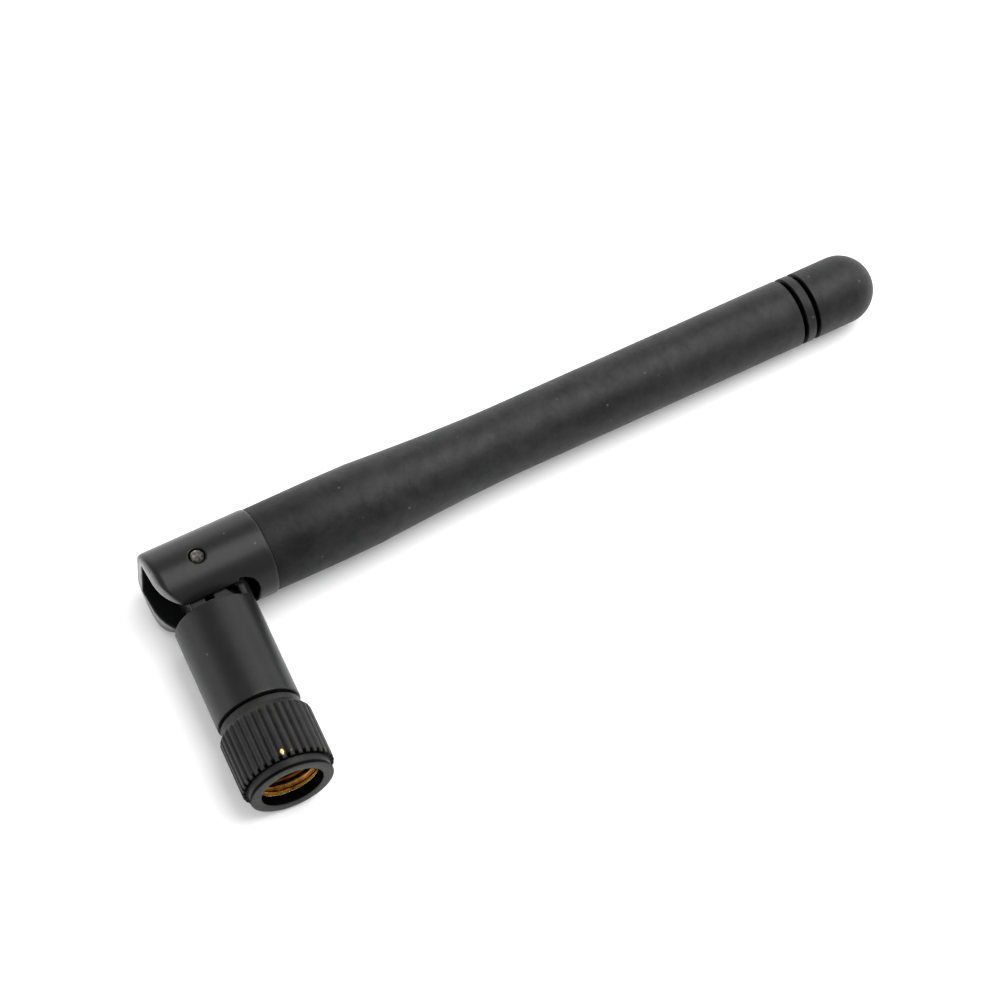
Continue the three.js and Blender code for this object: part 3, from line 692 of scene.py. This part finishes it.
def make_knuckle():
    """The fork and the barbed spigot: one round moulding, slotted and bored, with soft edges."""
    across = KNUCKLE_RADIUS + 1
    knuckle = core("knuckle_moulding", KNUCKLE_RADIUS, KNUCKLE_END - 1, JOINT_LINE + 1)
    combine(knuckle, prism("ears", ear_outline(), -across, across), "INTERSECT")
    soften(knuckle, 16, KNUCKLE_RADIUS, KNUCKLE_END, JOINT_LINE + 1)
    trim = [(0, KNUCKLE_END), (KNUCKLE_RADIUS + 0.01, KNUCKLE_END, EAR_EDGE)]
    trim += [(KNUCKLE_RADIUS - depth, JOINT_LINE - before) for before, depth in JOINT_TAPER]
    trim += [(0, JOINT_LINE - EDGE_GAP)]
    trim = rounded(trim, closed=False, steps=8)
    combine(knuckle, lathe("trim", trim, 160, closed=False), "INTERSECT")
    spigot = [(0, 0), (SPIGOT_RADIUS, 0)]
    for y in SPIGOT_BARBS:
        spigot += [(SPIGOT_RADIUS, y - BARB_LEAD), (SPIGOT_BARB_RADIUS, y), (SPIGOT_RADIUS, y + BARB_LENGTH)]
    spigot += [(SPIGOT_RADIUS, SPIGOT_END - SPIGOT_CHAMFER), (SPIGOT_RADIUS - SPIGOT_CHAMFER, SPIGOT_END)]
    spigot += [(0, SPIGOT_END)]
    combine(knuckle, lathe("spigot", spigot, 128, closed=False), "UNION")
    slot_low = (SLOT_WALL_X, KNUCKLE_END - 1, -SLOT_HALF)
    combine(knuckle, block("slot", slot_low, (across, RELIEF_START + 0.1, SLOT_HALF)), "DIFFERENCE")
    relief = turn(prism("relief", relief_outline(), 0, across), 90, "Y")
    combine(knuckle, relief, "DIFFERENCE")
    bore = core("bore", CABLE_BORE, SLOT_END - 1, SPIGOT_END + 1, 48)
    combine(knuckle, bore, "DIFFERENCE")
    combine(knuckle, cylinder_z("holes", PIN_EAR_HOLE, -across, across), "DIFFERENCE")
    soften(knuckle, 4, KNUCKLE_RADIUS, KNUCKLE_END, JOINT_LINE - JOINT_TAPER[0][0])
    mark_end_face_highlight(knuckle)
    return knuckle


place(make_knuckle(), AT_WHIP, "whip", "plastic", "hinge_knuckle", sharp=60)


# ---- Swivel barrel ----

def tongue_outline():
    """The tongue from the side, with a round top."""
    bottom = SHOULDER - 1
    top = -TONGUE_BACK_X
    points = [(TONGUE_BACK_X, bottom), (BARREL_RADIUS + 1, bottom), (BARREL_RADIUS + 1, 0)]
    steps = 24
    for i in range(steps + 1):
        angle = math.pi / 2 * i / steps
        points.append((TONGUE_FRONT_X * math.cos(angle), top * math.sin(angle)))
    points += arc(0, 0, top, 90, 180, 24)[1:]
    return points


def lug_outline():
    """A lug beside the tongue, as an outline in (z, y) with round corners at its top."""
    centre_z = LUG_HALF - LUG_CORNER
    centre_y = LUG_TOP - LUG_CORNER
    points = [(-LUG_HALF, SHOULDER - 0.5), (LUG_HALF, SHOULDER - 0.5)]
    points += arc(centre_z, centre_y, LUG_CORNER, 0, 90, 6)
    points += arc(-centre_z, centre_y, LUG_CORNER, 90, 180, 6)
    return points


def make_barrel():
    """The barrel with its tongue, which has detent grooves round the pin and a channel for the cable."""
    above_tongue = 1 - TONGUE_BACK_X
    tongue = prism("tongue", tongue_outline(), -TONGUE_HALF, TONGUE_HALF)
    combine(tongue, core("round", BARREL_RADIUS, SHOULDER - 1, above_tongue), "INTERSECT")
    groove_floor = TONGUE_HALF - DETENT_DEPTH
    half = DETENT_WIDTH / 2
    reach = 2 * BARREL_RADIUS
    for side in (1, -1):
        for i in range(360 // DETENT_STEP):
            z_range = sorted((side * groove_floor, side * (TONGUE_HALF + 1)))
            groove = block("groove", (-half, -reach, z_range[0]), (half, -DETENT_INNER, z_range[1]))
            combine(tongue, turn(groove, DETENT_START + i * DETENT_STEP, "Z"), "DIFFERENCE")
    lugs = turn(prism("lugs", lug_outline(), LUG_X - LUG_WIDTH / 2, LUG_X + LUG_WIDTH / 2), 90, "Y")
    combine(lugs, core("round", BARREL_RADIUS, SHOULDER - 1, 0), "INTERSECT")
    barrel = core("barrel_moulding", BARREL_RADIUS, BARREL_END, SHOULDER)
    combine(barrel, tongue, "UNION")
    combine(barrel, lugs, "UNION")
    bores = [
        (0, BARREL_END - 1),
        (BARREL_BORE, BARREL_END - 1),
        (BARREL_BORE, BARREL_BORE_END),
        (FERRULE_BORE, BARREL_BORE_END),
        (FERRULE_BORE, FERRULE_BORE_END),
        (CABLE_BORE, FERRULE_BORE_END),
        (CABLE_BORE, SHOULDER - 0.5),
        (0, SHOULDER - 0.5),
    ]
    combine(barrel, lathe("bores", bores, 64, closed=False), "DIFFERENCE")
    channel_low = (CHANNEL_BACK_X, SHOULDER - 1, -CHANNEL_HALF)
    channel = block("channel", channel_low, (BARREL_RADIUS + 1, 5, CHANNEL_HALF))
    combine(barrel, channel, "DIFFERENCE")
    across = BARREL_RADIUS + 1
    combine(barrel, cylinder_z("hole", PIN_RADIUS + GAP, -across, across), "DIFFERENCE")
    soften(barrel, 3, BARREL_RADIUS, BARREL_END + 0.2, SHOULDER - 0.15)
    return barrel


place(make_barrel(), AT_BARREL, "barrel", "plastic", "swivel_barrel", sharp=60)


# ---- Hinge pins ----

def make_pin(side):
    """A steel pin whose outer end is a rough, shallow dish with a rim."""
    rings = 7
    outline = rounded([(0, PIN_INNER), (PIN_RADIUS, PIN_INNER, 0.1), (PIN_RADIUS, PIN_OUTER)], closed=False)
    outline[-1] = (PIN_RADIUS, PIN_OUTER - PIN_CHAMFER)
    for ring in range(rings, -1, -1):
        share = ring / rings
        dish = PIN_DISH * (1 - share ** 3)
        outline.append(((PIN_RADIUS - PIN_CHAMFER) * share, PIN_OUTER - dish))
    pin = lathe("pin_upper" if side > 0 else "pin_lower", outline, 48, closed=False)
    for vertex in pin.data.vertices:
        if vertex.co.y > PIN_OUTER - PIN_DISH - 0.005:
            rough = noise.noise(Vector((vertex.co.x * PIN_MARKS, side * 5.0, vertex.co.z * PIN_MARKS)))
            vertex.co.y += PIN_ROUGHNESS * rough
    return turn(pin, 90 * side, "X")


for pin_side, pin_node in ((1, "hinge_pin_upper"), (-1, "hinge_pin_lower")):
    place(make_pin(pin_side), AT_BARREL, "barrel", "steel", pin_node)


# ---- Coupling nut ----

def knurl_depth(angle):
    """Depth of the knurl at an angle round the nut, from 0 on a crest to 1 in a groove."""
    share = (angle * KNURL_TEETH / (2 * math.pi) + 0.5) % 1.0
    from_groove = abs(share - 0.5) * 2
    return max(0.0, 1 - from_groove / KNURL_GROOVE_SHARE) ** KNURL_SIDE_POWER


def nut_radius(angle, radius, y):
    """Cuts the knurl and the helical thread into the turned nut."""
    if radius > NECK_RADIUS + 0.02 and KNURL_END - 0.01 < y < NECK_BOTTOM + 0.01:
        run_out = max(0.0, 1 - (y - KNURL_END) / KNURL_RUN_OUT)
        depth = KNURL_DEPTH + (NUT_RADIUS - END_BAND_RADIUS - KNURL_DEPTH) * run_out
        return min(radius, NUT_RADIUS - depth * knurl_depth(angle))
    if abs(radius - THREAD_MAJOR) < 1e-6 and THREAD_START - 0.01 <= y <= THREAD_END + 0.01:
        turns = y / THREAD_PITCH - angle / (2 * math.pi)
        height = 1 - abs((turns % 1.0) * 2 - 1)
        fade = min(1, (y - THREAD_START) / THREAD_FADE, (THREAD_END - y) / THREAD_FADE)
        return radius - (THREAD_MAJOR - THREAD_MINOR) * min(1, height * THREAD_CREST) * max(0, fade)
    return radius


def nut_outline():
    """The nut's section, up the outside and down the inside."""
    full = NUT_RADIUS + 0.01
    low = KNURL_END + 0.12
    outside = [
        (END_RING_RADIUS, NUT_END, 0.2),
        (END_RING_RADIUS, END_RING_TOP, 0.08),
        (END_BAND_RADIUS - END_GROOVE_DEPTH, END_RING_TOP + 0.4 * END_GROOVE_WIDTH, 0.04),
        (END_BAND_RADIUS, END_RING_TOP + END_GROOVE_WIDTH, 0.04),
        (END_BAND_RADIUS, KNURL_END, 0.03),
        (NUT_RADIUS - 0.1, KNURL_END, 0.04),
        (full, low, 0.05),
    ]
    for i in range(1, KNURL_ROWS):
        outside.append((full, low + (KNURL_TOP - low) * i / KNURL_ROWS))
    outside.append((full, CHAMFER_START, 0.12))
    for i in range(1, CHAMFER_ROWS):
        share = i / CHAMFER_ROWS
        radius = full + (NECK_RADIUS + 0.03 - full) * share
        outside.append((radius, CHAMFER_START + (NECK_BOTTOM - CHAMFER_START) * share))
    outside += [
        (NECK_RADIUS, NECK_BOTTOM, 0.04),
        (NECK_RADIUS, NUT_TOP, 0.12),
        (NUT_WALL_BORE, NUT_TOP, 0.1),
        (NUT_WALL_BORE, NUT_WALL, 0.05),
        (NUT_RELIEF, NUT_WALL),
    ]
    inside = [(NUT_RELIEF, THREAD_END + 0.3)]
    thread_rows = THREAD_TURNS * THREAD_ROWS
    for i in range(thread_rows, -1, -1):
        inside.append((THREAD_MAJOR, THREAD_START + (THREAD_END - THREAD_START) * i / thread_rows))
    inside += [(MOUTH_RADIUS, NUT_END + MOUTH_DEPTH, 0.03), (MOUTH_RADIUS, NUT_END, 0.08)]
    return rounded(outside + inside, closed=True, steps=3)


def crest_wear(tooth, y):
    """Wear on the knurl's crests: more towards the lower end, and bare brass at the spots in WORN_SPOTS."""
    value = CREST_WEAR + CREST_END_WEAR * max(0.0, 1 - (y - KNURL_END) / CREST_END_LENGTH)
    for worn_tooth, worn_y, reach, strength in WORN_SPOTS:
        across = (tooth - worn_tooth) * 2 * math.pi * NUT_RADIUS / KNURL_TEETH
        away = math.hypot(across / WORN_WIDTH, y - worn_y) / reach
        value = max(value, strength - WORN_FALL * away)
    return value


def nut_wear_and_painted_light(x, y, z):
    """The value of a point on the nut for black_plate() and thread_gold(): plating loss, painted shade and
    highlight.
    """
    radius = math.hypot(x, z)
    tooth = math.atan2(x, z) % (2 * math.pi) * KNURL_TEETH / (2 * math.pi)
    in_groove_end = END_BAND_RADIUS + 0.02 < radius < NUT_RADIUS - 0.1 and y < KNURL_END + KNURL_RUN_OUT
    on_neck_edge = radius > NECK_RADIUS - 0.05 and abs(y - NECK_BOTTOM) < 0.12
    on_crest = radius > NUT_RADIUS - 0.12
    on_end_face = radius > MOUTH_RADIUS + 0.005 and y < NUT_END + 0.12
    on_mouth_wall = abs(radius - MOUTH_RADIUS) < 0.01
    # Painted shade at the knurl's groove ends.
    if in_groove_end:
        return CORNER_SHADE
    # A painted highlight along the neck edge, with some bare brass.
    if on_neck_edge:
        return NECK_EDGE_HIGHLIGHT_AND_WEAR
    if on_crest:
        return crest_wear(tooth, y)
    if on_end_face:
        return END_FACE_PALER
    # Painted shade on the mouth wall.
    if on_mouth_wall:
        return CORNER_SHADE
    # Painted shade in the thread: darker further in and towards the roots.
    if radius < MOUTH_RADIUS:
        root = (radius - THREAD_MINOR) / (THREAD_MAJOR - THREAD_MINOR)
        return min(1.0, max(0.0, (y - THREAD_START) / THREAD_DIM_DEPTH + 0.6 * min(1.0, root)))
    return 0.0


def make_nut():
    """The nut, black outside and gold in its bore."""
    nut = lathe("nut_turned", nut_outline(), KNURL_TEETH * 10, shape=nut_radius)
    mesh = nut.data
    wear_and_painted_light = mesh.attributes.new("wear_and_painted_light", "FLOAT", "POINT")
    for vertex in mesh.vertices:
        wear_and_painted_light.data[vertex.index].value = nut_wear_and_painted_light(*vertex.co)
    mesh.materials.append(FINISHES["black_plate"])
    mesh.materials.append(thread_gold())
    bore_end = NUT_END + MOUTH_DEPTH - 0.02
    for face in mesh.polygons:
        x, y, z = face.center
        if math.hypot(x, z) < MOUTH_RADIUS + 0.1 and bore_end < y < NUT_WALL + 0.01:
            face.material_index = 1
    return nut


place(make_nut(), AT_BARREL, "nut", "black_plate", "coupling_nut", sharp=50)


# ---- Connector: outer conductor, insulator and contact ----

def make_connector_body():
    outline = [
        (SHIELD_BORE, SHIELD_END, 0.05),
        (SHIELD_RADIUS, SHIELD_END, 0.08),
        (SHIELD_RADIUS, SHIELD_END + SHIELD_LENGTH, 0.05),
        (BODY_RADIUS, SHIELD_END + SHIELD_LENGTH + 0.1, 0.05),
        (BODY_RADIUS, RING_GROOVE[0], 0.04),
        (RING_GROOVE_RADIUS, RING_GROOVE[0], 0.04),
        (RING_GROOVE_RADIUS, RING_GROOVE[1], 0.04),
        (BODY_RADIUS, RING_GROOVE[1], 0.04),
        (BODY_RADIUS, FLANGE[0], 0.05),
        (FLANGE_RADIUS, FLANGE[0], 0.08),
        (FLANGE_RADIUS, FLANGE[1], 0.08),
        (STEM_RADIUS, FLANGE[1], 0.08),
        (STEM_RADIUS, STEM_END, 0.05),
        (STEM_BORE, STEM_END, 0.03),
        (STEM_BORE, BEAD_SEAT, 0.03),
        (SHIELD_BORE, BEAD_SEAT, 0.03),
    ]
    return lathe("body_turned", rounded(outline), 96)


def make_insulator():
    inner = CONTACT_RADIUS + 0.04
    outer = SHIELD_BORE - 0.04
    low = SHIELD_END + GAP
    high = BEAD_SEAT - GAP
    outline = [(inner, low, 0.06), (outer, low, 0.08), (outer, high, 0.05), (inner, high, 0.05)]
    return lathe("insulator_turned", rounded(outline), 96)


def make_contact():
    front = SHIELD_END + 0.1
    back = BEAD_SEAT - 0.1
    outline = [
        (0, front + SOCKET_DEPTH),
        (SOCKET_RADIUS, front + SOCKET_DEPTH, 0.05),
        (SOCKET_RADIUS, front, 0.04),
        (CONTACT_RADIUS, front, 0.06),
        (CONTACT_RADIUS, back, 0.05),
        (SOLDER_CUP_RADIUS, back, 0.05),
        (SOLDER_CUP_RADIUS, back - 1, 0.03),
        (0, back - 1),
    ]
    contact = lathe("contact_turned", rounded(outline, closed=False), 64, closed=False)
    slit_end = front + SLIT_LENGTH
    slit = block("slit", (-SLIT_HALF, front - 1, -1), (SLIT_HALF, slit_end, 1))
    combine(contact, slit, "DIFFERENCE")
    slit = block("slit", (-1, front - 1, -SLIT_HALF), (1, slit_end, SLIT_HALF))
    combine(contact, slit, "DIFFERENCE")
    return contact


place(make_connector_body(), AT_BARREL, "connector", "gold", "connector_body")
place(make_insulator(), AT_BARREL, "connector", "ptfe", "contact_insulator")
place(make_contact(), AT_BARREL, "connector", "gold", "centre_contact")


# ---- Cable across the hinge ----

def make_cable_bend():
    """The cable's stretch across the hinge at rest: an arc through the fold, a little short at both ends."""
    reach = CABLE_BEND_RADIUS * math.tan(FOLD / 2)
    across = Vector((0, 0, CABLE_RADIUS))
    trim = 0.02
    rows = 40
    sides = 32
    verts = []
    for row in range(rows + 1):
        angle = (trim + (1 - 2 * trim) * row / rows) * FOLD
        outward = Vector((math.cos(angle), -math.sin(angle), 0))
        centre = Vector((CABLE_BEND_RADIUS, -reach, 0)) - CABLE_BEND_RADIUS * outward
        for side in range(sides):
            around = 2 * math.pi * side / sides
            verts.append(centre + CABLE_RADIUS * outward * math.cos(around) + across * math.sin(around))
    faces = [list(range(sides)), list(range(rows * sides, (rows + 1) * sides))]
    for row in range(rows):
        for side in range(sides):
            after = (side + 1) % sides
            low = row * sides
            faces.append([low + side, low + after, low + sides + after, low + sides + side])
    return new_object("cable_bend", verts, faces)


cable_bend = place(make_cable_bend(), AT_BARREL, None, "jacket", "coax_bend")
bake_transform(cable_bend)


# ---- Rubber sleeve ----

def taper_radius(y):
    share = (TAPER_END - y) / (TAPER_END - FOOT_END)
    return SLEEVE_RADIUS + (SLEEVE_FOOT_RADIUS - SLEEVE_RADIUS) * share ** TAPER_POWER


def sleeve_outline():
    """The sleeve's section: up the outside to the tip, and down the bore."""
    bottom = JOINT_LINE + EDGE_GAP
    spigot_bore = SPIGOT_BARB_RADIUS + GAP
    corners = [
        (spigot_bore, bottom, 0.1),
        (SLEEVE_FOOT_RADIUS, bottom, 0.02),
        (FOOT_MIDDLE_RADIUS, FOOT_MIDDLE),
    ]
    taper_steps = 28
    for i in range(taper_steps + 1):
        y = FOOT_END + (TAPER_END - FOOT_END) * i / taper_steps
        corners.append((taper_radius(y), y))
    straight_steps = 20
    for i in range(1, straight_steps):
        y = TAPER_END + (TIP_GROOVES[0] - 1 - TAPER_END) * i / straight_steps
        corners.append((SLEEVE_RADIUS, y))
    for y in TIP_GROOVES:
        floor = SLEEVE_RADIUS - TIP_GROOVE_DEPTH
        corners += [
            (SLEEVE_RADIUS, y - TIP_GROOVE_HALF, 0.05),
            (floor, y - TIP_GROOVE_HALF * TIP_GROOVE_FLOOR, 0.08),
            (floor, y + TIP_GROOVE_HALF * TIP_GROOVE_FLOOR, 0.08),
            (SLEEVE_RADIUS, y + TIP_GROOVE_HALF, 0.05),
        ]
    dome_steps = 24
    dome = TIP - SLEEVE_RADIUS
    for i in range(dome_steps):
        angle = math.pi / 2 * i / dome_steps
        corners.append((SLEEVE_RADIUS * math.cos(angle), dome + SLEEVE_RADIUS * math.sin(angle)))
    corners.append((0, TIP))
    inside = [
        (0, WHIP_BORE_END),
        (WHIP_BORE - 0.8, WHIP_BORE_END),
        (WHIP_BORE, WHIP_BORE_END - 0.6),
        (WHIP_BORE, SPIGOT_END + 0.6),
        (spigot_bore, SPIGOT_END + 0.2),
        (spigot_bore, bottom, 0.1),
    ]
    return rounded(corners, closed=False), rounded(inside, closed=False)


def sleeve_waviness(angle, radius, y):
    """Moulded rubber is never quite straight: a few hundredths of a millimetre of slow waviness."""
    if radius < WHIP_BORE + 1:
        return radius
    where = Vector((math.sin(angle) * WAVES_ROUND, y * WAVES_ALONG, math.cos(angle) * WAVES_ROUND))
    return radius + WAVINESS * noise.noise(where)


def make_sleeve():
    """The hollow rubber sleeve. Its gloss attribute rises from 0 at the joint line to 1, and is -1 in the tip
    grooves, where it paints shade.
    """
    outside, inside = sleeve_outline()
    sleeve = lathe("sleeve_rubber", outside + inside[:-1], 128, closed=True, shape=sleeve_waviness)
    gloss_and_groove_shade = sleeve.data.attributes.new("gloss_and_groove_shade", "FLOAT", "POINT")
    for vertex in sleeve.data.vertices:
        x, y, z = vertex.co
        # Painted shade: points below the surface near the tip grooves are marked -1.
        below_surface = math.hypot(x, z) < SLEEVE_RADIUS - 0.1
        near_grooves = abs(y - sum(TIP_GROOVES) / 2) < 2
        if below_surface and near_grooves:
            gloss_and_groove_shade.data[vertex.index].value = -1.0
        else:
            gloss_and_groove_shade.data[vertex.index].value = min(1.0, (y - JOINT_LINE) / (AGED_FROM - JOINT_LINE))
    return sleeve


place(make_sleeve(), AT_WHIP, "whip", "rubber", "rubber_sleeve", sharp=60)


# ---- Stage, light and camera ----

def make_floor():
    """A white table. It leans by under a degree so that the nut and the whip's tip both touch it."""
    nut_low, nut_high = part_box("coupling_nut")
    sleeve_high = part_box("rubber_sleeve")[1]
    contact_x = (nut_low.x + nut_high.x) / 2
    tip_x = sleeve_high.x - SLEEVE_RADIUS * MM
    tip_z = PIN.z - SLEEVE_RADIUS * MM
    slope = (tip_z - nut_low.z) / (tip_x - contact_x)
    half = FLOOR_HALF
    corners = [(-half, -half), (half, -half), (half, half), (-half, half)]
    verts = [(x, y, nut_low.z + slope * (x - contact_x)) for x, y in corners]
    floor = new_object("floor", verts, [[0, 1, 2, 3]])
    f = Finish("floor_white", Specular_IOR_Level=0.2)
    colour = f.mix(f.noise(60, 2, 0.5), tint((0.87, 0.87, 0.87)), tint((0.89, 0.89, 0.89)))
    f.set(Base_Color=colour, Roughness=f.remap(f.noise(20, 2, 0.5), 0.3, 0.7, 0.7, 0.8))
    f.set(Emission_Color=colour, Emission_Strength=FLOOR_GLOW)
    floor.data.materials.append(f.material)


def make_world():
    """A light tent: pale all round, with brighter lobes at the back, right and left."""
    world = bpy.data.worlds.new("tent")
    bpy.context.scene.world = world
    world.use_nodes = True
    tree = world.node_tree
    background = tree.nodes["Background"]
    direction = tree.nodes.new("ShaderNodeTexCoord").outputs["Generated"]
    total = None
    for toward, inner, outer, strength in TENT_LOBES:
        dot = tree.nodes.new("ShaderNodeVectorMath")
        dot.operation = "DOT_PRODUCT"
        tree.links.new(direction, dot.inputs[0])
        dot.inputs[1].default_value = Vector(toward).normalized()
        lobe = tree.nodes.new("ShaderNodeMapRange")
        lobe.interpolation_type = "SMOOTHSTEP"
        tree.links.new(dot.outputs["Value"], lobe.inputs["Value"])
        lobe.inputs["From Min"].default_value = math.cos(math.radians(outer))
        lobe.inputs["From Max"].default_value = math.cos(math.radians(inner))
        lobe.inputs["To Max"].default_value = strength
        if total is None:
            total = lobe.outputs["Result"]
            continue
        add = tree.nodes.new("ShaderNodeMath")
        tree.links.new(total, add.inputs[0])
        tree.links.new(lobe.outputs["Result"], add.inputs[1])
        total = add.outputs[0]
    base = tree.nodes.new("ShaderNodeMath")
    base.inputs[1].default_value = TENT_BASE
    tree.links.new(total, base.inputs[0])
    tree.links.new(base.outputs[0], background.inputs["Strength"])
    background.inputs["Color"].default_value = (1, 1, 1, 1)


def add_softbox():
    light = bpy.data.lights.new("softbox_top", "AREA")
    light.shape = "SQUARE"
    light.size = SOFTBOX_SIZE
    light.energy = SOFTBOX_RADIANCE * math.pi * SOFTBOX_SIZE ** 2
    obj = bpy.data.objects.new("softbox_top", light)
    direction = Vector(SOFTBOX_TOWARD).normalized()
    obj.location = direction * SOFTBOX_DISTANCE
    obj.rotation_euler = direction.to_track_quat("Z", "Y").to_euler()
    bpy.context.scene.collection.objects.link(obj)


def add_camera():
    camera = bpy.data.cameras.new("camera")
    camera.lens = CAMERA_LENS
    camera.sensor_width = 36
    camera.clip_end = 20
    obj = bpy.data.objects.new("camera", camera)
    obj.location = PIN + Vector(CAMERA_FROM_PIN) * MM
    obj.rotation_euler = [math.radians(angle) for angle in CAMERA_ANGLES]
    bpy.context.scene.collection.objects.link(obj)
    bpy.context.scene.camera = obj


make_floor()
make_world()
add_softbox()
add_camera()
bpy.context.scene.view_settings.view_transform = "Standard"
